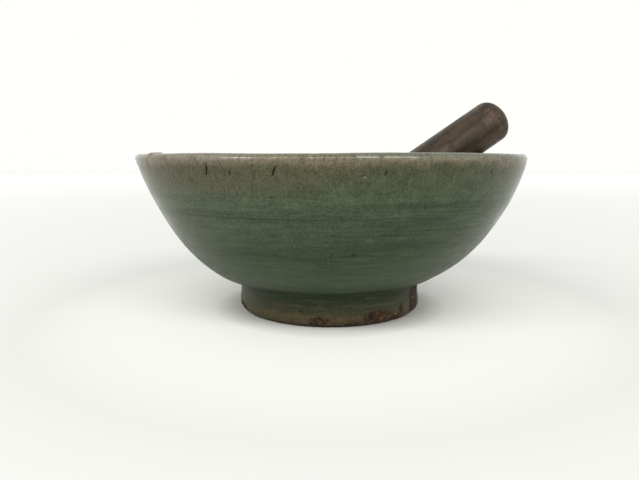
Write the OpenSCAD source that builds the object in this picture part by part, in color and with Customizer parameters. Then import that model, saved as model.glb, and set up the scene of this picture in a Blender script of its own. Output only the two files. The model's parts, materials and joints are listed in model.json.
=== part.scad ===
// Footed stoneware grinding bowl with a wooden pestle leaning on its rim.
// Millimetres. +Z is up. The origin is the centre of the foot ring's resting plane.
// The bowl is one turned shell. Its section runs along arcs, and the glaze is the skin
// between the same arcs at two depths, so the clay and the glaze meet exactly.

/* [Bowl] */

// Widest outer diameter, over the glaze, just under the lip
rim_d = 200; // [190:1:220]
// Height from the resting plane to the top of the lip
bowl_h = 81.5; // [79:0.5:84]
// How far the outside leans out from vertical where it meets the lip, in degrees
lip_flare = 15.8; // [14:0.2:17]
// Radius of the outside curve above the belly
upper_arc_r = 126; // [118:1:134]
// Radius of the tighter outside curve below the belly
lower_arc_r = 80; // [78:1:82]
// Angle below horizontal at which the upper curve hands over to the lower one
belly_angle = 35; // [33:1:37]
// Thickness of the wall with its glaze
wall_t = 8; // [7:0.25:9]
// Rounding of the lip's outer corner
lip_outer_r = 2; // [1.5:0.1:3]
// Rounding of the lip's inner corner
lip_inner_r = 3; // [2:0.1:3.5]

/* [Foot ring] */

// Outer diameter of the foot ring
foot_d = 97.6; // [94:0.2:102]
// Width of the foot ring, from its outer wall to its inner wall
foot_ring_t = 10; // [8:0.5:12]
// Radius of the hollow curve where the foot ring meets the bowl
foot_fillet_r = 5; // [4:0.25:6]
// Height of the recess inside the foot ring
recess_h = 6.5; // [5.5:0.25:7]
// Width of the sloped edge outside and inside the resting face
foot_chamfer = 1.6; // [1:0.1:2.2]

/* [Glaze] */

// Thickness of the glaze
glaze_t = 0.7; // [0.5:0.05:1]
// Height above the resting plane at which the glaze stops on the foot ring
glaze_start_h = 2.2; // [2.2:0.1:4]
// Depth below the lip at which the glaze stops inside the bowl
glaze_inside = 13; // [8:0.5:20]

/* [Pestle] */

// Whole length of the pestle, along its own axis
pestle_l = 160.5; // [152:0.5:172]
// Diameter the grinding end would have with square edges
pestle_tip_d = 23.6; // [22:0.2:24]
// Diameter the upper end would have with square edges
pestle_top_d = 25.2; // [24.2:0.2:27]
// Rounding of the edge at both ends
pestle_edge_r = 6; // [4:0.25:7]
// Radius of the shallow dome on both ends
pestle_dome_r = 16; // [14:0.5:24]
// Tilt of the pestle above horizontal, in degrees
pestle_lean = 31.5; // [30.5:0.25:32]
// Direction in which the pestle leans, in degrees from +X towards +Y
pestle_turn = 20; // [0:1:359]
// Gap left between the pestle and the bowl where it rests, at the lip and at the floor
rest_gap = 0.35; // [0.3:0.01:0.5]

/* [Hidden] */

$fa = 3;
$fs = 0.8;

clay_color = [0.62, 0.52, 0.42];
glaze_color = [0.29, 0.36, 0.27];
wood_color = [0.26, 0.19, 0.15];

// The most that a chord may stand off the arc it follows
chord_gap = 0.02;

// Point at distance r from centre c, a degrees below horizontal.
function spoke(c, r, a) = c + r * [cos(a), -sin(a)];

// Points along an arc, without its first: the stretch before it ends there.
function arc(c, r, a_from, a_to) =
    let (steps = ceil(abs(a_to - a_from) / (2 * acos(1 - chord_gap / r))))
    [for (i = [1 : steps]) spoke(c, r, a_from + (a_to - a_from) * i / steps)];

function backwards(line) = [for (i = [len(line) - 1 : -1 : 0]) line[i]];

// Lip: the outer rounding sets the widest diameter and the height
lip_outer_c = [rim_d / 2 - lip_outer_r, bowl_h - lip_outer_r];
upper_c = spoke(lip_outer_c, lip_outer_r - upper_arc_r, lip_flare);
inner_drop = upper_c[1] - bowl_h + lip_inner_r;
inner_dist = upper_arc_r - wall_t + lip_inner_r;
lip_inner_a = asin(inner_drop / inner_dist);
lip_inner_c = spoke(upper_c, inner_dist, lip_inner_a);

// Belly: the lower curve's centre lies on the spoke where the curves meet
lower_c = spoke(upper_c, upper_arc_r - lower_arc_r, belly_angle);

// Foot: the fillet circle touches the foot wall and the lower curve
foot_r = foot_d / 2;
foot_inner_r = foot_r - foot_ring_t;
fillet_dist = lower_arc_r + foot_fillet_r;
fillet_a = acos((foot_r + foot_fillet_r - lower_c[0]) / fillet_dist);
fillet_c = spoke(lower_c, fillet_dist, fillet_a);

// Glaze: the angle at which it stops on the inside curve
inner_upper_r = upper_arc_r - wall_t;
glaze_end_a = asin((upper_c[1] - bowl_h + glaze_inside) / inner_upper_r);

// Floor inside the bowl, at the clay's surface
floor_z = lower_c[1] - lower_arc_r + wall_t - glaze_t;

// Pestle: its side is at radius tip_r + taper * h, at height h above its lower end
tip_r = pestle_tip_d / 2;
taper = (pestle_top_d - pestle_tip_d) / 2 / pestle_l;
taper_a = atan(taper);

// Each end's edge rounding touches the side and the dome. inset is the side's radius
// level with the dome's centre, less the rounding, and grow its change away from there.
function edge_rise(inset, grow) = (
    sqrt((1 + grow * grow) * pow(pestle_dome_r - pestle_edge_r, 2) - inset * inset) - inset * grow
) / (1 + grow * grow);
function edge_c(dome_c, inset, grow, up) =
    let (rise = edge_rise(inset, grow))
    dome_c + [inset + grow * rise, up * rise];

low_dome_c = [0, pestle_dome_r];
low_inset = tip_r + taper * low_dome_c[1] - pestle_edge_r / cos(taper_a);
low_edge_c = edge_c(low_dome_c, low_inset, -taper, -1);
low_join_a = atan2(low_dome_c[1] - low_edge_c[1], low_edge_c[0]);
top_dome_c = [0, pestle_l - pestle_dome_r];
top_inset = tip_r + taper * top_dome_c[1] - pestle_edge_r / cos(taper_a);
top_edge_c = edge_c(top_dome_c, top_inset, taper, 1);
top_join_a = atan2(top_dome_c[1] - top_edge_c[1], top_edge_c[0]);

// Where the pestle lies: its side is rest_gap clear of the lip's inner rounding, at height
// rest_h along it, and the edge of its lower end is rest_gap clear of the curve under it.
lean_dir = [cos(pestle_lean), sin(pestle_lean)];
lean_up = [-sin(pestle_lean), cos(pestle_lean)];
side_gap = (lip_inner_r + rest_gap) / cos(taper_a);
slide = taper * lean_up - lean_dir;
edge_start = lip_inner_c + (tip_r + side_gap - low_edge_c[0]) * lean_up + low_edge_c[1] * lean_dir;
from_curve = edge_start - [-lower_c[0], lower_c[1]];
curve_room = lower_arc_r - wall_t + glaze_t - pestle_edge_r - rest_gap;
along = from_curve * slide;
rest_h = (sqrt(along * along + slide * slide * (curve_room * curve_room - from_curve * from_curve)) - along)
    / (slide * slide);
pestle_at = lip_inner_c + (tip_r + taper * rest_h + side_gap) * lean_up - rest_h * lean_dir;

// The glazed side of the section at depth t: from the foot wall up the outside, over the
// lip and down the inside to the glaze's edge.
function skin(t) = concat(
    [[foot_r - t, fillet_c[1]]],
    arc(fillet_c, foot_fillet_r + t, 180, 180 + fillet_a),
    arc(lower_c, lower_arc_r - t, fillet_a, belly_angle),
    arc(upper_c, upper_arc_r - t, belly_angle, lip_flare),
    arc(lip_outer_c, lip_outer_r - t, lip_flare, -90),
    [[lip_inner_c[0], bowl_h - t]],
    arc(lip_inner_c, lip_inner_r - t, -90, lip_inner_a - 180),
    arc(upper_c, inner_upper_r + t, lip_inner_a, glaze_end_a)
);

// Unglazed stoneware bowl on its foot ring
module mortar_body() {
    color(clay_color)
        rotate_extrude()
            polygon(concat(
                [
                    [foot_inner_r + foot_chamfer, 0],
                    [foot_r - glaze_t - foot_chamfer, 0],
                    [foot_r - glaze_t, foot_chamfer]
                ],
                skin(glaze_t),
                arc(upper_c, inner_upper_r + glaze_t, glaze_end_a, belly_angle),
                arc(lower_c, lower_arc_r - wall_t + glaze_t, belly_angle, 90),
                [
                    [0, floor_z],
                    [0, recess_h],
                    [foot_inner_r, recess_h],
                    [foot_inner_r, foot_chamfer]
                ]
            ));
}

// Celadon glaze fused to the outside, over the lip and a little way down inside
module celadon_glaze() {
    color(glaze_color)
        rotate_extrude()
            polygon(concat(
                [
                    [foot_r - glaze_t, glaze_start_h],
                    [foot_r, glaze_start_h]
                ],
                skin(0),
                backwards(skin(glaze_t))
            ));
}

// One turned piece of hardwood, leaning on the lip with its lower end near the floor
module pestle() {
    color(wood_color)
        rotate([0, 0, pestle_turn])
            translate([pestle_at[0], 0, pestle_at[1]])
                rotate([0, 90 - pestle_lean, 0])
                    rotate_extrude()
                        polygon(concat(
                            [[0, 0]],
                            arc(low_dome_c, pestle_dome_r, 90, low_join_a),
                            arc(low_edge_c, pestle_edge_r, low_join_a, taper_a),
                            [spoke(top_edge_c, pestle_edge_r, taper_a)],
                            arc(top_edge_c, pestle_edge_r, taper_a, top_join_a),
                            arc(top_dome_c, pestle_dome_r, top_join_a, -90)
                        ));
}

mortar_body();
celadon_glaze();
pestle();
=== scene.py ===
"""Looks for a celadon-glazed stoneware grinding bowl and its wooden pestle.

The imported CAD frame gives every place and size. Shapes are worked out here in millimetres
and degrees, and turned into metres when a mesh is made. Directions round the bowl are in
degrees from +X towards +Y, so -90 faces the viewer.
"""
import itertools
import json
import math

import bpy
import numpy as np
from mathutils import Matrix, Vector


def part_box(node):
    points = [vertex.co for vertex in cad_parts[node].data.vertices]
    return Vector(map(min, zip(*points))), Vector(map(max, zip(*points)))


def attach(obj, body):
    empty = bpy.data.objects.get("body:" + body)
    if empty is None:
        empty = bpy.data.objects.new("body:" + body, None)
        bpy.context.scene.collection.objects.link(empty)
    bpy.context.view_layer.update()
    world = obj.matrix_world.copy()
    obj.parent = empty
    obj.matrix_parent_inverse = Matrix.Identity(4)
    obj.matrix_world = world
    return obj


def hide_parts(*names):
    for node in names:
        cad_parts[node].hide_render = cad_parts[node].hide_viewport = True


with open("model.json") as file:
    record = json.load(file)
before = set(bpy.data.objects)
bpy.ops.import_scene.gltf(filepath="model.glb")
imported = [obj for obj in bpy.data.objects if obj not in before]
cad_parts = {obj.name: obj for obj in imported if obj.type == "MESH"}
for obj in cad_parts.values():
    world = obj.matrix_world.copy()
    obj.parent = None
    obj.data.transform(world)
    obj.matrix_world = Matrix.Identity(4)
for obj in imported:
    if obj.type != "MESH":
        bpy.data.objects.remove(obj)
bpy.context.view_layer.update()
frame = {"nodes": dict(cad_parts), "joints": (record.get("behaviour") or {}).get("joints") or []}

MM = 0.001

# ---------------------------------------------------------------- sizes

# The rim comes from the frame. The rest repeats part.scad, but for the lip's outer corner
# and the glaze's lower edge, which follow the photograph more closely.

RIM_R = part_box("celadon_glaze")[1].x / MM
LIP_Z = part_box("celadon_glaze")[1].z / MM
WALL_T = 8.0
GLAZE_T = 0.7
FOOT_R = 48.8
FOOT_T = 10.0
FOOT_RECESS = 6.5
FOOT_CHAMFER = 1.6

# The outside is two arcs from the foot's fillet to the lip. Angles are below horizontal.
LIP_FLARE = 15.8
BELLY_ANGLE = 35.0
UPPER_R = 126.0
LOWER_R = 80.0
FILLET_R = 5.0

# The lip's outer corner is a tight arc at the widest line, then an open one up to the top.
LIP_TIGHT_R = 0.9
LIP_OPEN_R = 2.7
LIP_TURN = 20.0
LIP_INNER_R = 3.0

# Heights above the table of the glaze's edges outside and inside
GLAZE_FOOT_Z = 1.1
GLAZE_INSIDE_Z = LIP_Z - 13.0

# How deep the hidden back of the glaze sits in the clay, and how deep a bare patch goes
GLAZE_BACK = 1.0
BARE_DEPTH = 0.98

# How far the visual lip starts below the CAD's, and the height above which rows are closer
LIP_SINK = 0.04
FINE_FROM_Z = 70.5

# Millimetres for each degree round the lip, at its crawl cracks and on the upper wall
RIM_ARC, CRACK_ARC, WALL_ARC = 1.745, 1.72, 1.6

PESTLE_AXIS = frame["joints"][0]["axis"]
PESTLE_TURN = math.degrees(math.atan2(PESTLE_AXIS[1], PESTLE_AXIS[0]))


def polar(angle):
    """Unit vector (r, z) pointing that many degrees below horizontal."""
    return np.array([math.cos(math.radians(angle)), -math.sin(math.radians(angle))])


# ---------------------------------------------------------------- noise

def lattice_noise(points, seed):
    """Smooth noise from about -1 to 1 at each point, from random slopes on a unit lattice."""
    rng = np.random.default_rng(seed)
    shuffle = rng.permutation(256)
    slopes = rng.normal(size=(256, 3))
    slopes /= np.linalg.norm(slopes, axis=1, keepdims=True)
    cell = np.floor(points).astype(int)
    part = points - cell
    fade = part ** 3 * (part * (part * 6 - 15) + 10)
    total = np.zeros(points.shape[:-1])
    for corner in itertools.product((0, 1), repeat=3):
        key = np.zeros(points.shape[:-1], int)
        for axis in range(3):
            key = shuffle[(key + cell[..., axis] + corner[axis]) & 255]
        weight = np.prod(np.where(corner, fade, 1 - fade), axis=-1)
        total += weight * np.sum(slopes[key] * (part - corner), axis=-1)
    return total * 1.6


def ripples(points, layers, seed):
    """Sum of noises, each given as (size, height)."""
    return sum(
        high * lattice_noise(points / size, seed + i) for i, (size, high) in enumerate(layers)
    )


def smooth(low, high, x):
    """0 below low, 1 above high, and an S-curve between."""
    t = np.clip((x - low) / (high - low), 0, 1)
    return t * t * (3 - 2 * t)


def turn_gap(angles, centre):
    """Signed difference between directions, in degrees, from -180 to 180."""
    return (angles - centre + 180) % 360 - 180


# ---------------------------------------------------------------- the bowl's section

class Section:
    """A line of points with outward normals, built from straight and curved stretches."""

    def __init__(self):
        self.points, self.normals = [], []

    def line(self, start, end, normal, step):
        start, end = np.array(start, float), np.array(end, float)
        count = max(1, round(np.linalg.norm(end - start) / step))
        for i in range(count):
            self.points.append(start + (end - start) * i / count)
            self.normals.append(np.array(normal, float))
        return self

    def arc(self, centre, radius, start, end, step, hollow=False):
        count = max(1, round(radius * math.radians(abs(end - start)) / step))
        for i in range(count):
            way = polar(start + (end - start) * i / count)
            self.points.append(np.array(centre) + radius * way)
            self.normals.append(-way if hollow else way)
        return self

    def arrays(self):
        return np.array(self.points), np.array(self.normals)


flare = polar(LIP_FLARE)
tight_c = np.array([RIM_R - LIP_TIGHT_R, 0.0])
shoulder_z = LIP_Z - LIP_SINK - LIP_OPEN_R
tight_c[1] = shoulder_z + (LIP_OPEN_R - LIP_TIGHT_R) * math.sin(math.radians(LIP_TURN))
open_c = tight_c - (LIP_OPEN_R - LIP_TIGHT_R) * polar(-LIP_TURN)
upper_c = tight_c + (LIP_TIGHT_R - UPPER_R) * flare
lower_c = upper_c + (UPPER_R - LOWER_R) * polar(BELLY_ANGLE)
fillet_gap = LOWER_R + FILLET_R
fillet_a = math.degrees(math.acos((FOOT_R + FILLET_R - lower_c[0]) / fillet_gap))
fillet_c = lower_c + fillet_gap * polar(fillet_a)
inner_gap = UPPER_R - WALL_T + LIP_INNER_R
inner_a = math.degrees(math.asin((upper_c[1] - LIP_Z + LIP_INNER_R) / inner_gap))
inner_c = upper_c + inner_gap * polar(inner_a)
inner_end_a = math.degrees(math.asin((upper_c[1] - GLAZE_INSIDE_Z) / (UPPER_R - WALL_T)))
fine_a = math.degrees(math.asin((upper_c[1] - FINE_FROM_Z) / UPPER_R))


def glazed_section(body_step, fine_step, lip_step):
    """The glazed side from the foot up the outside, over the lip and down the inside."""
    s = Section()
    s.line([FOOT_R, GLAZE_FOOT_Z], [FOOT_R, fillet_c[1]], [1, 0], fine_step * 1.3)
    s.arc(fillet_c, FILLET_R, 180, 180 + fillet_a, fine_step, hollow=True)
    s.arc(lower_c, LOWER_R, fillet_a, BELLY_ANGLE, body_step)
    s.arc(upper_c, UPPER_R, BELLY_ANGLE, fine_a, body_step)
    s.arc(upper_c, UPPER_R, fine_a, LIP_FLARE, fine_step)
    s.arc(tight_c, LIP_TIGHT_R, LIP_FLARE, -LIP_TURN, lip_step)
    s.arc(open_c, LIP_OPEN_R, -LIP_TURN, -90, lip_step * 1.5)
    s.line(open_c + [0, LIP_OPEN_R], inner_c + [0, LIP_INNER_R], [0, 1], fine_step)
    s.arc(inner_c, LIP_INNER_R, -90, inner_a - 180, fine_step)
    s.arc(upper_c, UPPER_R - WALL_T, inner_a, inner_end_a, fine_step * 1.6, hollow=True)
    return s


# ---------------------------------------------------------------- what the years and the fire did

# (direction, low z, high z, lean in mm, half width in mm): short cracks where the glaze crawled
CRAWLS = [
    (-119.1, 72.9, 77.0, 1.4, 0.46),
    (-112.8, 73.2, 75.0, 0.5, 0.32),
    (-102.2, 73.0, 76.4, 1.5, 0.48),
    (-77.9, 73.0, 75.6, 0.3, 0.20),
    (-48.2, 73.2, 75.4, -0.5, 0.36),
    (20.0, 72.6, 75.8, 0.4, 0.30),
    (74.0, 73.4, 76.2, -0.2, 0.26),
    (131.0, 72.8, 76.4, 0.6, 0.32),
    (172.0, 73.6, 75.6, 0.1, 0.24),
]

# (direction, height, half width, half height): bare clay on the foot ring
BARE_FOOT = [
    (-61.5, 3.7, 7.6, 3.3),
    (-95.6, 3.0, 4.8, 2.5),
    (-25.5, 7.6, 6.4, 8.4),
    (-78.0, 1.2, 5.0, 0.9),
    (-48.0, 1.8, 4.4, 1.5),
    (-43.5, 5.4, 2.2, 2.4),
    (38.0, 4.2, 8.0, 4.2),
    (96.0, 2.6, 11.0, 3.0),
    (151.0, 5.0, 6.0, 5.2),
    (-158.0, 2.2, 7.0, 2.2),
]

# (direction, half width in degrees, height in mm, power): where the lip stands up or dips
LIP_WAVES = [
    (-92, 96, 0.32, 6),
    (-66, 16, 0.16, 2),
    (-14, 13, 0.30, 2),
    (-166, 13, 0.20, 2),
    (-100, 12, -0.10, 2),
    (-142, 2.3 / RIM_ARC, 0.6, 4),
    (PESTLE_TURN, 20, -0.2, 2),
]

# Distance from the axis, and how far the underside is raised there: above the foot it turns
# in more suddenly than a round arc would
TUCK_R = [48.0, 50.0, 53.0, 58.0, 66.0, 75.0]
TUCK_UP = [2.3, 2.2, 1.3, 0.45, 0.15, 0.0]


def lopsided(z):
    """How far the outside bulges towards +X, in mm, at each height: it was thrown by hand."""
    return np.interp(z, [0, 14, 20, 30, 40, 58, 75, 80], [0, -0.2, -1.1, 0, 0.5, 0.9, 0.5, 0.05])


def lip_lift(angles):
    """How far the lip's top wanders up and down round the bowl, in mm."""
    a = np.radians(angles)
    wander = 0.07 * np.sin(a * 5 + 0.4) + 0.05 * np.sin(a * 9 + 2.0) + 0.03 * np.sin(a * 17)
    for centre, half, height, power in LIP_WAVES:
        wander = wander + height * np.exp(-(turn_gap(angles, centre) / half) ** power)
    return wander


def foot_swell(z):
    """The foot wall's slight waist and heel, in mm."""
    heights = [0, 1.0, 3.0, 5.0, 7.4, 9.5, 12.5, 14]
    return np.interp(z, heights, [-0.4, -0.05, 0.15, 0.2, -0.1, -0.35, -0.2, 0])


# (direction, height, radius in mm): dark spots and pale specks fired into the glaze
DARK_SPOTS = [
    (-83.1, 40.9, 1.9),
    (-106.0, 7.9, 1.3),
    (-103.4, 65.0, 0.7),
    (-70.5, 62.5, 0.6),
    (-57.0, 47.0, 0.6),
]
PALE_SPECKS = [
    (-40.0, 78.9, 0.8),
    (-73.9, 57.9, 0.6),
    (-99.6, 44.8, 0.5),
    (-82.3, 72.8, 0.8),
    (-116.0, 52.0, 0.4),
    (-62.0, 34.0, 0.4),
    (-79.2, 1.6, 0.8),
    (-47.5, 3.8, 0.9),
]


def bare_mask(angles, z, points):
    """Above 0 where the glaze has come off the foot ring."""
    most = np.full(z.shape, -9.0)
    for centre, height, half_w, half_h in BARE_FOOT:
        across = turn_gap(angles, centre) * math.radians(1) * FOOT_R / half_w
        up = (z - height) / half_h
        most = np.maximum(most, 1 - across ** 2 - up ** 2)
    return most + ripples(points, [(3.2, 0.7), (1.3, 0.5)], 71)


def crawl_mask(angles, z, radius):
    """1 in the middle of a crawl crack, 0 outside."""
    most = np.zeros(z.shape)
    for centre, low, high, lean, half in CRAWLS:
        along = (z - low) / (high - low)
        across = turn_gap(angles, centre) * math.radians(1) * radius - lean * (along - 0.5)
        taper = np.clip(along * (1 - along) * 4, 0, 1) ** 0.5
        most = np.maximum(most, taper * np.clip(1.25 - (across / half) ** 2, 0, 1))
    return most


def settle(points, angles, outside):
    """Moves the true section to where the hand-thrown one went. Points are in mm."""
    x, y, z = points[..., 0], points[..., 1], points[..., 2]
    up = lip_lift(angles) * smooth(70, 79.5, z)
    push = lopsided(z) * np.cos(np.radians(angles)) * outside
    push = push + np.where(outside > 0, foot_swell(z) * (z < 14), 0)
    tuck = np.interp(np.hypot(x, y), TUCK_R, TUCK_UP)
    up = up + tuck * outside * smooth(8, 14, z) * (z < 45)
    way = np.radians(angles)
    return np.stack([x + push * np.cos(way), y + push * np.sin(way), z + up], -1)


def swept(section, normals, depth, angles):
    """The section turned round the axis, sunk by depth along its normals."""
    r = section[:, None, 0] - depth * normals[:, None, 0]
    z = section[:, None, 1] - depth * normals[:, None, 1]
    a = np.radians(angles)[None, :]
    return np.stack([r * np.cos(a), r * np.sin(a), z + 0 * a], -1)


# ---------------------------------------------------------------- meshes

def make_mesh(name, rings, closed, values=None, poles=False):
    """Joins rings of points, in mm, into a mesh. closed joins the last ring to the first;
    poles makes one point of the first ring and of the last."""
    m, n = rings.shape[:2]
    rings = rings * MM
    if poles:
        first, end = rings[0].mean(0)[None], rings[-1].mean(0)[None]
        points = np.concatenate([first, rings[1:-1].reshape(-1, 3), end])
        index = 1 + np.arange((m - 2) * n).reshape(m - 2, n)
        last = len(points) - 1
        beside = np.roll(index, -1, axis=1)
        quads = np.stack([index[:-1], beside[:-1], beside[1:], index[1:]], -1).reshape(-1, 4)
        faces = quads.tolist()
        faces += [[0, int(b), int(a)] for a, b in zip(index[0], beside[0])]
        faces += [[last, int(a), int(b)] for a, b in zip(index[-1], beside[-1])]
    else:
        points = rings.reshape(-1, 3)
        index = np.arange(m * n).reshape(m, n)
        if closed:
            index = np.concatenate([index, index[:1]])
        beside = np.roll(index, -1, axis=1)
        quads = np.stack([index[:-1], beside[:-1], beside[1:], index[1:]], -1).reshape(-1, 4)
        faces = quads.tolist()
    mesh = bpy.data.meshes.new(name)
    mesh.from_pydata(points.tolist(), [], faces)
    mesh.shade_smooth()
    for key, field in (values or {}).items():
        layer = mesh.attributes.new(key, "FLOAT", "POINT")
        if poles:
            field = np.concatenate([[field[0].mean()], field[1:-1].ravel(), [field[-1].mean()]])
        layer.data.foreach_set("value", field.ravel().astype(np.float32))
    mesh.validate()
    mesh.update()
    obj = bpy.data.objects.new(name, mesh)
    bpy.context.scene.collection.objects.link(obj)
    return obj


# Columns round the glaze, and distances in mm of the extra ones beside each crawl crack
GLAZE_COLUMNS = 560
CRACK_OFFSETS = (0.12, 0.26, 0.42, 0.62, 0.9)

# Steps along the glaze's section on the wall, near the lip and foot, and round the lip
GLAZE_STEPS = (1.6, 0.6, 0.36)

# Rows inside the bowl over which the glaze's inner edge starts to wander
EDGE_ROWS = 9


def glaze_columns():
    """Directions of the glaze's columns: even, with more beside each crawl crack."""
    columns = list(np.linspace(-180, 180, GLAZE_COLUMNS, endpoint=False))
    for centre, *_ in CRAWLS:
        for offset in CRACK_OFFSETS:
            columns += [centre + offset / CRACK_ARC, centre - offset / CRACK_ARC]
        columns.append(centre)
    return np.array(sorted((a + 180) % 360 - 180 for a in columns))


def build_glaze():
    section, normals = glazed_section(*GLAZE_STEPS).arrays()
    angles = glaze_columns()
    base = swept(section, normals, np.zeros((len(section), 1)), angles)
    z = base[..., 2]
    across = np.broadcast_to(angles[None, :], z.shape)
    radius = np.hypot(base[..., 0], base[..., 1])
    order = np.arange(len(section))[:, None]
    foot_rows = section[:, 0] == FOOT_R
    outside = order <= np.argmax(section[:, 1])

    depth = 0.06 + ripples(base, [(46, 0.07), (19, 0.04)], 11)
    spin = base * [0.02, 0.02, 1.0]
    depth += ripples(spin, [(9.0, 0.08), (4.2, 0.03)], 21) * outside * smooth(14, 24, z)
    depth += ripples(base, [(6.0, 0.05), (2.6, 0.03)], 31) * smooth(74, 79, z)
    depth = np.maximum(depth, 0.0)
    bare = np.where(outside & (z < 15.5), bare_mask(across, z, base), -9)
    crawl = crawl_mask(across, z, radius) * outside
    chipped_edge = 0.12 * np.exp(-((bare + 0.3) / 0.16) ** 2)
    depth += smooth(-0.12, 0.05, bare) * (BARE_DEPTH - 0.1) - chipped_edge
    depth += 0.55 * crawl
    dent = (turn_gap(across, -16.5) * WALL_ARC / 1.1) ** 2 + (z - 62) ** 2
    depth += 0.45 * np.exp(-dent) * outside
    nicks = ripples(base, [(2.2, 1.0)], 41)
    depth += 0.4 * smooth(0.62, 0.85, nicks) * smooth(79.2, 80.4, z) * outside

    foot_edge = GLAZE_FOOT_Z + 0.35 * lattice_noise(base[0] / 5.0, 51)
    foot_edge = foot_edge + 0.15 * lattice_noise(base[0] / 1.7, 52)
    top_z = fillet_c[1]
    share = (top_z - z[foot_rows]) / (top_z - GLAZE_FOOT_Z)
    base[foot_rows, :, 2] = top_z - share * (top_z - foot_edge[None, :])
    end_rows = order > len(section) - EDGE_ROWS
    inner_edge = 1.1 * lattice_noise(base[-1] / 14.0, 53) + 0.5 * lattice_noise(base[-1] / 4.0, 54)
    end_share = np.clip((order - (len(section) - EDGE_ROWS)) / (EDGE_ROWS - 1), 0, 1)
    base[..., 2] += end_share * end_rows * inner_edge[None, :]
    rim_in = (np.minimum(order, 3) / 3) * np.minimum(len(section) - 1 - order, 3) / 3
    depth = np.maximum(depth, (1 - rim_in) ** 2 * (GLAZE_T + 0.08))

    normal = np.stack(
        [
            normals[:, None, 0] * np.cos(np.radians(angles)),
            normals[:, None, 0] * np.sin(np.radians(angles)),
            np.broadcast_to(normals[:, None, 1], z.shape),
        ],
        -1,
    )
    outer = base - depth[..., None] * normal
    last = len(section) - 1
    back_rows = np.unique(np.concatenate([[0], np.arange(2, last, 4), [last]]))
    back_depth = np.maximum(GLAZE_BACK, depth + 0.25)[back_rows]
    back = base[back_rows] - back_depth[..., None] * normal[back_rows]
    front_rings = settle(outer, angles[None, :], outside)
    back_rings = settle(back, angles[None, :], outside[back_rows])[::-1]
    rings = np.concatenate([front_rings, back_rings])
    thin = smooth(-0.9, 0.1, bare)
    values = {
        "crawl": np.concatenate([crawl, np.zeros(back.shape[:2])]),
        "thin": np.concatenate([thin, np.zeros(back.shape[:2])]),
    }
    return make_mesh("glaze_skin", rings, closed=True, values=values)


# Combed grooves round the inside, four columns of points to each
GROOVES = 195


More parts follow.
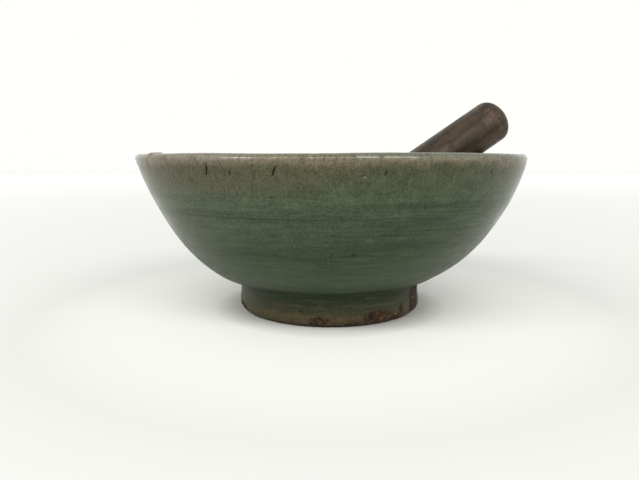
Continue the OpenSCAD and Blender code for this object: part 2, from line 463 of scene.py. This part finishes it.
def build_clay():
    foot_in = FOOT_R - FOOT_T
    clay_r = FOOT_R - GLAZE_T
    s = Section()
    s.line([0, FOOT_RECESS], [foot_in - 1.5, FOOT_RECESS], [0, -1], 4.2)
    s.arc([foot_in - 1.5, FOOT_RECESS - 1.5], 1.5, -90, 0, 0.6, hollow=True)
    s.line([foot_in, FOOT_RECESS - 1.5], [foot_in, FOOT_CHAMFER], [-1, 0], 1.0)
    slope = math.sqrt(0.5)
    s.line([foot_in, FOOT_CHAMFER], [foot_in + FOOT_CHAMFER, 0], [-slope, -slope], 0.6)
    s.line([foot_in + FOOT_CHAMFER, 0], [clay_r - FOOT_CHAMFER, 0], [0, -1], 1.3)
    s.line([clay_r - FOOT_CHAMFER, 0], [clay_r, FOOT_CHAMFER], [slope, -slope], 0.6)
    s.line([clay_r, FOOT_CHAMFER], [clay_r, fillet_c[1]], [1, 0], 1.1)
    s.arc(fillet_c, FILLET_R + GLAZE_T, 180, 180 + fillet_a, 1.4, hollow=True)
    s.arc(lower_c, LOWER_R - GLAZE_T, fillet_a, BELLY_ANGLE, 5)
    s.arc(upper_c, UPPER_R - GLAZE_T, BELLY_ANGLE, LIP_FLARE, 5)
    s.arc(tight_c, LIP_TIGHT_R - GLAZE_T, LIP_FLARE, -LIP_TURN, 0.2)
    s.arc(open_c, LIP_OPEN_R - GLAZE_T, -LIP_TURN, -90, 0.8)
    s.line(open_c + [0, LIP_OPEN_R - GLAZE_T], inner_c + [0, LIP_INNER_R - GLAZE_T], [0, 1], 1.3)
    s.arc(inner_c, LIP_INNER_R - GLAZE_T, -90, inner_a - 180, 0.8)
    inside_from = len(s.points)
    s.arc(upper_c, UPPER_R - WALL_T + GLAZE_T, inner_a, BELLY_ANGLE, 1.7, hollow=True)
    s.arc(lower_c, LOWER_R - WALL_T + GLAZE_T, BELLY_ANGLE, 90, 2.6, hollow=True)
    s.points.append(lower_c + (LOWER_R - WALL_T + GLAZE_T) * polar(90))
    s.normals.append(np.array([0.0, 1.0]))
    section, normals = s.arrays()
    # lower_c stands off the axis, so the floor between there and the axis is flat
    section[-1, 0] = 0
    angles = np.linspace(-180, 180, GROOVES * 4, endpoint=False)
    base = swept(section, normals, np.zeros((len(section), 1)), angles)
    z = base[..., 2]
    radius = np.hypot(base[..., 0], base[..., 1])
    order = np.arange(len(section))[:, None]
    inside = order >= inside_from
    outside = (order <= np.argmax(section[:, 1])) & (order > 20)
    depth = ripples(base, [(30, 0.10), (8, 0.05)], 61)
    depth = np.where(z < 0.01, 0, depth)

    column = np.arange(GROOVES * 4)[None, :]
    line = column // 4
    comb_top = GLAZE_INSIDE_Z - 3.5 + 1.2 * np.sin(line * 0.9) + 0.8 * np.sin(line * 2.3 + 1)
    every = (line % 2 == 0) * 1.0
    fourth = (line % 4 == 0) * 1.0
    strength = smooth(24, 33, radius) * (fourth + (1 - fourth) * smooth(30, 42, radius))
    strength = strength * (every + (1 - every) * smooth(46, 58, radius))
    strength = strength * (1 - smooth(comb_top - 0.8, comb_top + 0.8, z)) * inside
    worn = 0.75 + 0.25 * lattice_noise(base / 17.0, 62)
    cut = np.array([0.0, 0.75, 1.0, 0.35])[column % 4]
    depth = depth + 0.62 * cut * strength * worn
    # How deeply each point is combed, kept for the grooves' painted shade
    groove_shade = cut * strength
    sway = np.where(inside, 2.2 * np.sin((radius - 20) / 22.0), 0)
    turned = np.radians(angles[None, :] + sway)
    r = section[:, None, 0] - depth * normals[:, None, 0]
    high = section[:, None, 1] - depth * normals[:, None, 1]
    rings = np.stack([r * np.cos(turned), r * np.sin(turned), high], -1)
    rings = settle(rings, np.broadcast_to(angles[None, :] + sway, z.shape), outside * 1.0)
    inside_value = np.broadcast_to(inside * 1.0, z.shape)
    outer_wall = np.broadcast_to(outside & (section[:, 0] > FOOT_R - 2.2)[:, None], z.shape) * 1.0
    values = {"groove_shade": groove_shade, "inside": inside_value, "outer_wall": outer_wall}
    return make_mesh("clay_body", rings, closed=False, values=values, poles=True)


# ---------------------------------------------------------------- the pestle

TIP_R, TOP_R = 11.8, 12.6
EDGE_R, DOME_R = 6.0, 16.0


def pestle_place():
    """The pestle's lower end, its axis and its length, from the CAD mesh's two end points."""
    axis = Vector(PESTLE_AXIS).normalized()
    points = frame["nodes"]["pestle"].data.vertices
    reach = [v.co @ axis for v in points]
    start = points[int(np.argmin(reach))].co
    return start, axis, (max(reach) - min(reach)) / MM


def build_pestle():
    start, axis, length = pestle_place()
    taper = (TOP_R - TIP_R) / length
    lean = math.degrees(math.atan(taper))

    def edge(dome_z, grow, up):
        inset = TIP_R + taper * dome_z - EDGE_R / math.cos(math.atan(taper))
        reach = (1 + grow ** 2) * (DOME_R - EDGE_R) ** 2 - inset ** 2
        rise = (math.sqrt(reach) - inset * grow) / (1 + grow ** 2)
        centre = np.array([inset + grow * rise, dome_z + up * rise])
        return centre, math.degrees(math.atan2(rise, centre[0]))

    low_c, low_a = edge(DOME_R, -taper, -1)
    top_c, top_a = edge(length - DOME_R, taper, 1)
    s = Section()
    s.arc([0, DOME_R], DOME_R, 90, low_a, 0.7)
    s.arc(low_c, EDGE_R, low_a, lean, 0.5)
    s.line(low_c + EDGE_R * polar(lean), top_c + EDGE_R * polar(lean), polar(lean), 0.62)
    s.arc(top_c, EDGE_R, lean, -top_a, 0.4)
    s.arc([0, length - DOME_R], DOME_R, -top_a, -90, 0.5)
    s.points.append(np.array([0.0, length]))
    s.normals.append(np.array([0.0, 1.0]))
    section, normals = s.arrays()
    angles = np.linspace(-180, 180, 300, endpoint=False)
    base = swept(section, normals, np.zeros((len(section), 1)), angles)
    along = base[..., 2]
    depth = 0.06 + ripples(base * [1, 1, 0.25], [(11, 0.07), (4, 0.03)], 81)
    depth += ripples(base * [1, 1, 0.03], [(1.1, 0.022)], 84) * smooth(4, 10, length - along)
    pits = lattice_noise(base / [2.3, 2.3, 2.9], 85)
    depth += 0.22 * smooth(0.66, 0.9, pits)
    # the working end is roughened by use
    worn = smooth(26, 6, along)
    depth += worn * 0.12 * np.abs(lattice_noise(base / 3.4, 86))
    depth = np.maximum(depth, -0.05)
    sunk = swept(section, normals, depth, angles)
    across = Vector((0, -1, 0)).cross(axis).normalized()
    side = axis.cross(across)
    turn = np.array([across, side, axis])
    # The pits' share, kept for their painted shade
    values = {"pit_shade": smooth(0.6, 0.9, pits)}
    for key, part in zip(("grain_x", "grain_y", "grain_z"), np.moveaxis(sunk, -1, 0)):
        values[key] = part
    rings = np.array(start) / MM + sunk @ turn
    return make_mesh("pestle_wood", rings, closed=False, values=values, poles=True)


# ---------------------------------------------------------------- materials

class Nodes:
    """A material's node tree, with short ways to add nodes and join them."""

    def __init__(self, name):
        self.material = bpy.data.materials.new(name)
        self.material.use_nodes = True
        self.tree = self.material.node_tree
        self.tree.nodes.clear()
        self.shader = self.add("ShaderNodeBsdfPrincipled")
        output = self.add("ShaderNodeOutputMaterial")
        self.join(self.shader.outputs[0], output.inputs["Surface"])

    def add(self, kind, **settings):
        node = self.tree.nodes.new(kind)
        for key, value in settings.items():
            setattr(node, key, value)
        return node

    def join(self, source, target):
        self.tree.links.new(source, target)

    def put(self, socket, value):
        if isinstance(value, bpy.types.NodeSocket):
            self.join(value, socket)
        else:
            socket.default_value = value

    def math(self, operation, *values):
        node = self.add("ShaderNodeMath", operation=operation)
        for socket, value in zip(node.inputs, values):
            self.put(socket, value)
        return node.outputs[0]

    def times(self, first, second):
        return self.math("MULTIPLY", first, second)

    def vector(self, operation, first, second):
        node = self.add("ShaderNodeVectorMath", operation=operation)
        self.put(node.inputs[0], first)
        self.put(node.inputs["Scale"] if operation == "SCALE" else node.inputs[1], second)
        return node.outputs[0]

    def noise(self, place, scale, detail=3.0, rough=0.5, warp=0.0):
        node = self.add("ShaderNodeTexNoise")
        self.put(node.inputs["Vector"], place)
        settings = {"Scale": scale, "Detail": detail, "Roughness": rough, "Distortion": warp}
        for key, value in settings.items():
            node.inputs[key].default_value = value
        return node.outputs["Fac"]

    def remap(self, value, low, high, to_low=0.0, to_high=1.0):
        node = self.add("ShaderNodeMapRange", interpolation_type="SMOOTHSTEP")
        for socket, part in zip(node.inputs, (value, low, high, to_low, to_high)):
            self.put(socket, part)
        return node.outputs[0]

    def ramp(self, value, stops):
        node = self.add("ShaderNodeValToRGB")
        band = node.color_ramp.elements
        while len(band) < len(stops):
            band.new(0.5)
        for element, (place, colour) in zip(band, stops):
            element.position = place
            element.color = (*colour, 1)
        self.put(node.inputs[0], value)
        return node.outputs[0]

    def mix(self, share, first, second, kind="MIX"):
        node = self.add("ShaderNodeMix", data_type="RGBA", blend_type=kind)
        self.put(node.inputs[0], share)
        for socket, value in ((node.inputs[6], first), (node.inputs[7], second)):
            self.put(socket, (*value, 1) if isinstance(value, tuple) and len(value) == 3 else value)
        return node.outputs[2]

    def place(self):
        """The point on the surface in millimetres."""
        coords = self.add("ShaderNodeTexCoord")
        return self.vector("SCALE", coords.outputs["Object"], 1000.0)

    def field(self, name):
        node = self.add("ShaderNodeAttribute", attribute_name=name)
        return node.outputs["Fac"]

    def bump(self, height, distance, strength=1.0, below=None):
        node = self.add("ShaderNodeBump")
        node.inputs["Strength"].default_value = strength
        node.inputs["Distance"].default_value = distance * MM
        self.put(node.inputs["Height"], height)
        if below is not None:
            self.join(below, node.inputs["Normal"])
        return node.outputs[0]

    def finish(self, colour, roughness, normal, **constants):
        self.put(self.shader.inputs["Base Color"], colour)
        self.put(self.shader.inputs["Roughness"], roughness)
        self.join(normal, self.shader.inputs["Normal"])
        for key, value in constants.items():
            self.shader.inputs[key.replace("_", " ")].default_value = value
        return self.material


# Glaze colours by height, as a share of TONE_SPAN, darker towards the glaze's lower edge.
# From about 12 to 20 mm up, at the fillet under the overhang, they hold painted shade over
# the glaze's dark green, darkest in a painted shadow line near 15 mm up.
TONE_SPAN = 82.0
GLAZE_AND_SHADE_TONES = [
    (0.00, (0.034, 0.026, 0.010)),
    (0.05, (0.058, 0.044, 0.017)),
    (0.11, (0.044, 0.038, 0.016)),
    (0.145, (0.028, 0.030, 0.013)),
    (0.165, (0.017, 0.023, 0.009)),
    (0.180, (0.011, 0.016, 0.006)),
    (0.195, (0.022, 0.032, 0.013)),
    (0.238, (0.019, 0.031, 0.011)),
    (0.256, (0.031, 0.052, 0.022)),
    (0.30, (0.029, 0.051, 0.019)),
    (0.36, (0.026, 0.049, 0.017)),
    (0.46, (0.024, 0.044, 0.015)),
    (0.55, (0.026, 0.046, 0.018)),
    (0.66, (0.039, 0.062, 0.028)),
    (0.78, (0.050, 0.070, 0.035)),
    (0.86, (0.048, 0.060, 0.029)),
    (0.93, (0.050, 0.055, 0.026)),
    (0.948, (0.090, 0.080, 0.043)),
    (0.965, (0.135, 0.114, 0.070)),
    (0.976, (0.120, 0.108, 0.066)),
    (0.984, (0.090, 0.096, 0.062)),
]


def split(n, place):
    node = n.add("ShaderNodeSeparateXYZ")
    n.join(place, node.inputs[0])
    return node.outputs


def spot(n, place, direction, height, size):
    """1 at a place on the glazed outside, falling to 0 at size mm from it."""
    section, _ = glazed_section(*GLAZE_STEPS).arrays()
    rising = section[: int(np.argmax(section[:, 1]))]
    across = np.interp(height, rising[:, 1], rising[:, 0])
    way = math.radians(direction)
    away = n.add("ShaderNodeVectorMath", operation="DISTANCE")
    n.join(place, away.inputs[0])
    away.inputs[1].default_value = (across * math.cos(way), across * math.sin(way), height)
    return n.remap(away.outputs["Value"], size, size * 0.45)


def glaze_material():
    n = Nodes("celadon")
    place = n.place()
    x, _, z = split(n, place)
    streak = n.noise(n.vector("MULTIPLY", place, (1.0, 1.0, 0.12)), 0.36, 5.0, 0.6, 0.4)
    fine_streak = n.noise(n.vector("MULTIPLY", place, (1.0, 1.0, 0.25)), 0.62, 4.0, 0.66, 0.5)
    cloud = n.noise(place, 0.035, 4.0, 0.55, 0.6)
    mottle = n.noise(n.vector("MULTIPLY", place, (0.6, 0.6, 1.0)), 0.24, 5.0, 0.62, 0.3)
    grit = n.noise(place, 1.3, 3.0, 0.6)
    rings = n.noise(n.vector("MULTIPLY", place, (0.03, 0.03, 1.0)), 0.28, 5.0, 0.62, 0.15)
    lines = n.noise(n.vector("MULTIPLY", place, (0.06, 0.06, 1.0)), 1.0, 3.0, 0.6, 0.1)

    streak_way = n.math("MULTIPLY_ADD", streak, 8.0, -4.0)
    wander = n.math("ADD", streak_way, n.math("MULTIPLY_ADD", cloud, 8.0, -4.0))
    band = n.remap(z, 62.0, 76.0)
    settled = n.remap(z, 82.0, 77.0)
    shift = n.times(n.times(wander, band), settled)
    level = n.math("DIVIDE", n.math("ADD", z, shift), TONE_SPAN)
    colour = n.ramp(level, GLAZE_AND_SHADE_TONES)
    lighter = n.mix(1.0, colour, (1.22, 1.20, 1.18), "MULTIPLY")
    darker = n.mix(1.0, colour, (0.80, 0.83, 0.80), "MULTIPLY")
    colour = n.mix(n.remap(mottle, 0.3, 0.7), darker, lighter)
    below_rim = n.remap(z, 74.0, 60.0)
    dark_ring = n.times(n.remap(rings, 0.46, 0.60), n.times(below_rim, 0.50))
    colour = n.mix(dark_ring, colour, (0.013, 0.026, 0.010))
    dark_line = n.times(n.remap(lines, 0.53, 0.64), n.times(below_rim, 0.50))
    colour = n.mix(dark_line, colour, (0.012, 0.022, 0.009))
    pale_line = n.times(n.remap(lines, 0.46, 0.34), n.times(below_rim, 0.35))
    colour = n.mix(pale_line, colour, (0.060, 0.078, 0.044))
    # Iron bleeds through in the upper quarter, further down on the left than on the right.
    leftwards = n.remap(x, 55.0, -55.0)
    brown_end = n.math("MULTIPLY_ADD", leftwards, -11.0, 74.0)
    above = n.remap(n.math("SUBTRACT", n.math("ADD", z, shift), brown_end), 0.0, 5.0)
    brown = n.times(above, n.math("MULTIPLY_ADD", leftwards, 0.45, 0.15))
    colour = n.mix(brown, colour, (0.080, 0.069, 0.038))
    # Painted light: the body is paler on the left from about 38 to 74 mm up, as if more light fell
    # from that side.
    painted_light_left = n.times(leftwards, n.times(n.remap(z, 38.0, 52.0), n.remap(z, 74.0, 64.0)))
    colour = n.mix(n.times(painted_light_left, 0.18), colour, (0.115, 0.130, 0.082))
    # The lip's beige above about 76 mm is paler on the left: partly its own thin glaze, partly
    # painted light from the left.
    lip_beige_and_painted_light = n.times(leftwards, n.remap(z, 76.0, 79.0))
    colour = n.mix(n.times(lip_beige_and_painted_light, 0.45), colour, (0.21, 0.18, 0.125))
    upper = n.remap(z, 56.0, 73.0)
    dark = n.times(n.remap(fine_streak, 0.52, 0.66), n.times(upper, 0.50))
    colour = n.mix(dark, colour, (0.028, 0.026, 0.012))
    light = n.times(n.remap(fine_streak, 0.46, 0.34), n.times(upper, 0.22))
    colour = n.mix(light, colour, (0.120, 0.120, 0.080))
    speckle = n.noise(place, 0.9, 3.0, 0.75)
    dark_speck = n.mix(1.0, colour, (0.45, 0.50, 0.45), "MULTIPLY")
    colour = n.mix(n.times(n.remap(speckle, 0.52, 0.64), 0.45), colour, dark_speck)
    light_speck = n.mix(1.0, colour, (1.7, 1.62, 1.7), "MULTIPLY")
    colour = n.mix(n.times(n.remap(speckle, 0.47, 0.35), 0.35), colour, light_speck)
    colour = n.mix(n.times(n.remap(grit, 0.575, 0.64), 0.6), colour, (0.010, 0.012, 0.007))
    colour = n.mix(n.times(n.remap(grit, 0.36, 0.31), 0.4), colour, (0.12, 0.13, 0.095))
    dark_kind = (DARK_SPOTS, (0.008, 0.010, 0.006), 0.8)
    pale_kind = (PALE_SPECKS, (0.20, 0.21, 0.16), 0.38)
    for spots, tone, share in (dark_kind, pale_kind):
        for direction, height, size in spots:
            mark = spot(n, place, direction, height, size)
            colour = n.mix(n.times(mark, share), colour, tone)
    thrown = n.math("ABSOLUTE", n.math("SUBTRACT", n.math("MULTIPLY_ADD", cloud, 1.6, z), 57.0))
    thrown = n.times(n.remap(thrown, 0.42, 0.12), n.remap(x, 40.0, -10.0))
    colour = n.mix(n.times(thrown, 0.55), colour, (0.014, 0.020, 0.009))
    lump = spot(n, place, -142.0, LIP_Z + 0.2, 4.2)
    colour = n.mix(n.times(lump, 0.7), colour, (0.075, 0.052, 0.044))
    colour = n.mix(n.times(n.field("thin"), 0.6), colour, (0.040, 0.030, 0.016))
    # Painted shade in the crawl cracks: near black, partly the dark clay showing through and partly
    # shade inside the crack.
    colour = n.mix(n.remap(n.field("crawl"), 0.1, 0.7), colour, (0.006, 0.005, 0.003))
    at_lip = n.times(n.remap(z, 77.5, 79.5), n.remap(z, 81.4, 80.8))
    colour = n.mix(1.0, colour, (1.05, 1.05, 1.13), "MULTIPLY")
    rough = n.math("MULTIPLY_ADD", at_lip, -0.10, n.remap(mottle, 0.3, 0.7, 0.16, 0.26))
    rough = n.math("ADD", rough, n.remap(z, 55.0, 25.0, 0.0, 0.22))
    normal = n.bump(mottle, 0.10, 0.5)
    normal = n.bump(rings, 0.20, 0.5, normal)
    normal = n.bump(grit, 0.035, 0.5, normal)
    # The lip's shoulder is glassier in dashes, dull in the middle and plain towards both sides.
    shoulder = n.times(n.remap(z, 78.6, 79.4), n.remap(z, 81.2, 80.6))
    dashes = n.noise(n.vector("MULTIPLY", place, (1.0, 1.0, 0.2)), 0.16, 4.0, 0.6)
    dull = n.remap(n.math("ABSOLUTE", n.math("SUBTRACT", x, 2.0)), 4.0, 9.0)
    fade = n.remap(n.math("ABSOLUTE", x), 72.0, 50.0)
    glassy = n.times(n.times(shoulder, dull), n.remap(dashes, 0.40, 0.52))
    glassy = n.times(glassy, fade)
    n.join(glassy, n.shader.inputs["Coat Weight"])
    return n.finish(
        colour, rough, normal, Coat_Roughness=0.10, Coat_IOR=1.6,
        IOR=1.5, Specular_IOR_Level=0.21, Specular_Tint=(1.0, 1.0, 0.88, 1.0),
    )


def clay_material():
    n = Nodes("stoneware")
    place = n.place()
    z = split(n, place)[2]
    cloud = n.noise(place, 0.06, 4.0, 0.6, 0.5)
    blotch = n.noise(place, 0.42, 5.0, 0.68, 0.6)
    grain = n.noise(place, 1.8, 4.0, 0.65)
    outer = n.ramp(
        blotch,
        [
            (0.36, (0.008, 0.006, 0.003)),
            (0.46, (0.020, 0.011, 0.005)),
            (0.55, (0.050, 0.023, 0.007)),
            (0.62, (0.075, 0.038, 0.014)),
            (0.70, (0.16, 0.12, 0.07)),
        ],
    )
    inner = n.ramp(
        cloud,
        [
            (0.30, (0.17, 0.115, 0.075)),
            (0.50, (0.24, 0.170, 0.115)),
            (0.72, (0.30, 0.225, 0.160)),
        ],
    )
    colour = n.mix(n.field("inside"), outer, inner)
    under = n.mix(n.remap(cloud, 0.35, 0.65), (0.15, 0.075, 0.040), (0.26, 0.165, 0.10))
    facing = n.times(n.remap(z, 7.2, 6.2), n.math("SUBTRACT", 1.0, n.field("outer_wall")))
    colour = n.mix(n.times(facing, 0.6), colour, under)
    # Painted shade: the combed grooves' cuts are coloured darker.
    colour = n.mix(n.times(n.field("groove_shade"), 0.55), colour, (0.085, 0.055, 0.036))
    radius = n.vector("MULTIPLY", place, (1.0, 1.0, 0.0))
    length = n.add("ShaderNodeVectorMath", operation="LENGTH")
    n.join(radius, length.inputs[0])
    pool = n.times(n.remap(length.outputs["Value"], 34.0, 16.0), n.field("inside"))
    colour = n.mix(n.times(pool, 0.45), colour, (0.33, 0.255, 0.19))
    colour = n.mix(n.times(n.remap(grain, 0.60, 0.72), 0.5), colour, (0.045, 0.030, 0.022))
    colour = n.mix(n.times(n.remap(grain, 0.38, 0.28), 0.4), colour, (0.42, 0.34, 0.26))
    rough = n.remap(grain, 0.3, 0.7, 0.72, 0.92)
    normal = n.bump(grain, 0.12, 0.8)
    normal = n.bump(blotch, 0.25, 0.5, normal)
    return n.finish(colour, rough, normal, IOR=1.5, Specular_IOR_Level=0.25)


def wood_material():
    n = Nodes("hardwood")
    joined = n.add("ShaderNodeCombineXYZ")
    for socket, key in zip(joined.inputs, ("grain_x", "grain_y", "grain_z")):
        n.join(n.field(key), socket)
    place = joined.outputs[0]
    z = split(n, place)[2]
    streak = n.noise(n.vector("MULTIPLY", place, (1.0, 1.0, 0.06)), 0.5, 5.0, 0.65, 0.7)
    figure = n.noise(n.vector("MULTIPLY", place, (1.0, 1.0, 0.25)), 0.14, 4.0, 0.6, 1.0)
    pore = n.noise(n.vector("MULTIPLY", place, (1.0, 1.0, 0.09)), 2.6, 2.0, 0.5)
    smudge = n.noise(place, 0.16, 4.0, 0.6, 0.4)
    dents = n.noise(place, 0.55, 3.0, 0.6)
    scratch = n.noise(n.vector("MULTIPLY", place, (0.5, 0.5, 3.0)), 0.55, 4.0, 0.7, 1.2)
    colour = n.ramp(
        streak,
        [
            (0.34, (0.007, 0.005, 0.003)),
            (0.45, (0.015, 0.010, 0.006)),
            (0.55, (0.027, 0.018, 0.011)),
            (0.66, (0.046, 0.031, 0.019)),
        ],
    )
    reddish = n.times(n.remap(figure, 0.46, 0.60), 0.65)
    colour = n.mix(reddish, colour, (0.056, 0.034, 0.018))
    colour = n.mix(n.times(n.remap(smudge, 0.46, 0.62), 0.60), colour, (0.014, 0.012, 0.007))
    colour = n.mix(n.times(n.remap(pore, 0.60, 0.70), 0.6), colour, (0.004, 0.003, 0.002))
    handled = n.times(n.remap(z, 138.0, 146.0), n.remap(z, 156.0, 151.0))
    rubbed = n.times(handled, n.remap(smudge, 0.56, 0.44))
    bruise = n.times(n.remap(scratch, 0.54, 0.63), rubbed)
    colour = n.mix(n.times(bruise, 0.60), colour, (0.19, 0.125, 0.100))
    end = n.remap(z, 148.0, 156.0)
    colour = n.mix(n.times(end, 0.55), colour, (0.018, 0.016, 0.009))
    # Painted shade: the pits are coloured near black.
    colour = n.mix(n.times(n.field("pit_shade"), 0.7), colour, (0.006, 0.004, 0.003))
    ground = n.remap(z, 30.0, 4.0)
    colour = n.mix(n.times(ground, 0.5), colour, (0.17, 0.12, 0.085))
    rough = n.remap(smudge, 0.35, 0.65, 0.36, 0.50)
    normal = n.bump(streak, 0.10, 0.6)
    normal = n.bump(pore, 0.05, 0.6, normal)
    normal = n.bump(dents, 0.10, 0.5, normal)
    normal = n.bump(smudge, 0.25, 0.35, normal)
    return n.finish(
        colour, rough, normal,
        IOR=1.5, Specular_IOR_Level=0.26, Specular_Tint=(1.0, 0.90, 0.76, 1.0),
    )


# The paper's tone by distance from the bowl's axis, as a share of PAPER_SPAN mm, set
# so that the floor near the bowl is as dark as the photograph's
PAPER_SPAN = 1800.0
# Painted light and shade on the floor: a painted contact shadow at the foot's edge, painted light
# from about 60 to 80 mm that lifts the bowl's shadow, painted shade from about 150 to 290 mm, then
# near white far off.
FLOOR_LIGHT_AND_SHADE_TONES = [
    (0.029, (0.68, 0.68, 0.66)),
    (0.034, (0.92, 0.92, 0.90)),
    (0.045, (0.86, 0.86, 0.84)),
    (0.085, (0.62, 0.62, 0.61)),
    (0.16, (0.64, 0.64, 0.63)),
    (1.0, (0.95, 0.95, 0.95)),
]


def floor_material():
    n = Nodes("paper_floor_painted_light")
    place = n.place()
    length = n.add("ShaderNodeVectorMath", operation="LENGTH")
    n.join(place, length.inputs[0])
    tone = n.ramp(n.math("DIVIDE", length.outputs["Value"], PAPER_SPAN), FLOOR_LIGHT_AND_SHADE_TONES)
    grain = n.noise(place, 0.8, 2.0)
    return n.finish(tone, 0.9, n.bump(grain, 0.02, 0.2), IOR=1.3)


# ---------------------------------------------------------------- the piece, dressed

glaze = build_glaze()
glaze.data.materials.append(glaze_material())
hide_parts("celadon_glaze")
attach(glaze, "mortar")

clay = build_clay()
clay.data.materials.append(clay_material())
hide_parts("mortar_body")
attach(clay, "mortar")

pestle = build_pestle()
pestle.data.materials.append(wood_material())
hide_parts("pestle")
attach(pestle, "pestle")

# ---------------------------------------------------------------- floor, light and camera

FLOOR_HALF = 4.0
FLOOR_POINTS = 40

# The camera fitted to the photograph: metres, degrees and pixels
CAMERA_PLACE = (0.0, -0.3002, 0.0795)
LOOK_DOWN = 8.37
CAMERA_TURN = 1.055
FOCAL_PX, PHOTO_W = 550.0, 639.0
SENSOR_W = 36.0


def build_floor():
    count = FLOOR_POINTS
    line = np.linspace(-FLOOR_HALF, FLOOR_HALF, count)
    points = [(float(x), float(y), 0.0) for y in line for x in line]
    faces = [
        (j * count + i, j * count + i + 1, (j + 1) * count + i + 1, (j + 1) * count + i)
        for j in range(count - 1)
        for i in range(count - 1)
    ]
    mesh = bpy.data.meshes.new("floor")
    mesh.from_pydata(points, [], faces)
    mesh.materials.append(floor_material())
    obj = bpy.data.objects.new("floor", mesh)
    bpy.context.scene.collection.objects.link(obj)


def area_light(name, place, target, width, height, power, colour=(1, 1, 1)):
    lamp = bpy.data.lights.new(name, "AREA")
    lamp.shape = "RECTANGLE"
    lamp.size, lamp.size_y = width, height
    lamp.energy = power
    lamp.color = colour
    obj = bpy.data.objects.new(name, lamp)
    obj.location = place
    obj.rotation_mode = "QUATERNION"
    obj.rotation_quaternion = (Vector(target) - Vector(place)).to_track_quat("-Z", "Y")
    bpy.context.scene.collection.objects.link(obj)


def build_light():
    world = bpy.data.worlds.new("studio")
    world.use_nodes = True
    sky = world.node_tree.nodes["Background"]
    sky.inputs["Color"].default_value = (1.0, 1.0, 0.975, 1)
    sky.inputs["Strength"].default_value = 1.0
    bpy.context.scene.world = world
    area_light("front_window", (-0.12, -1.15, 1.25), (0, 0, 0.06), 3.6, 0.36, 31.0, (1.0, 0.99, 0.96))


def build_camera():
    data = bpy.data.cameras.new("camera")
    data.sensor_width = SENSOR_W
    data.lens = SENSOR_W * FOCAL_PX / PHOTO_W
    data.clip_start, data.clip_end = 0.01, 50.0
    obj = bpy.data.objects.new("camera", data)
    obj.location = CAMERA_PLACE
    obj.rotation_euler = (math.radians(90 - LOOK_DOWN), 0.0, math.radians(CAMERA_TURN))
    bpy.context.scene.collection.objects.link(obj)
    bpy.context.scene.camera = obj


build_floor()
build_light()
build_camera()
bpy.context.scene.view_settings.view_transform = "Standard"
